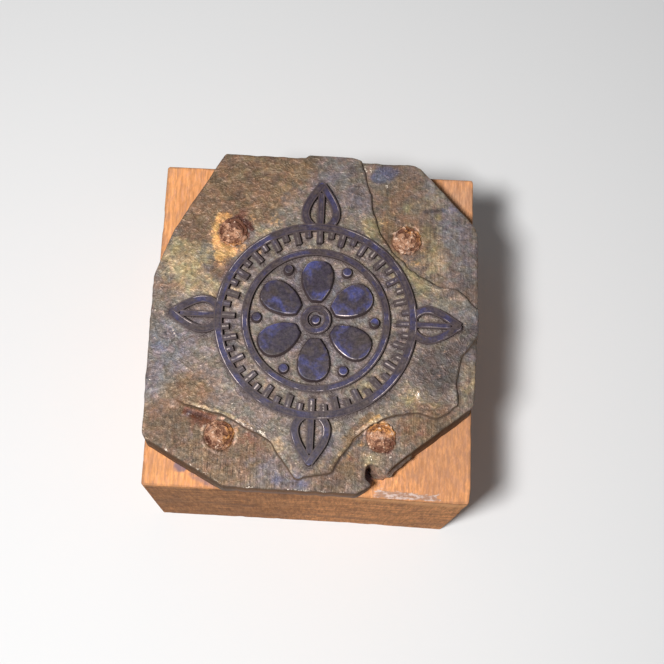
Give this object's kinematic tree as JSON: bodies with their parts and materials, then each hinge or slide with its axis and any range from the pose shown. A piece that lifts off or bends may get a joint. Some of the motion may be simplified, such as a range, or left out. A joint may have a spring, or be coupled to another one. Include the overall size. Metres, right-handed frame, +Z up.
{
  "type": "letterpress printing block",
  "caption": "Type-high wood-mounted printing block: worn metal relief plate with a round flower ornament, nailed to a wooden block.",
  "frame": {"origin": "centre of the wooden block's flat bottom face, which stands on the press bed", "axes": "+Z up towards the printing face, +X to the right and +Y to the back with the notch in the plate's front edge nearest to -Y"},
  "size_m": [0.0275, 0.0292, 0.0233],
  "materials": {
    "block_wood": "bare, oil-darkened, ink-stained",
    "plate_metal": "dull, tarnished, blue-black ink on the raised lines",
    "rusty_nail": "rusted, pitted"
  },
  "bodies": {
    "root": {"wood_block": "block_wood", "printing_plate": "plate_metal", "nail_back_left": "rusty_nail", "nail_back_right": "rusty_nail", "nail_front_left": "rusty_nail", "nail_front_right": "rusty_nail"}
  },
  "joints": []
}
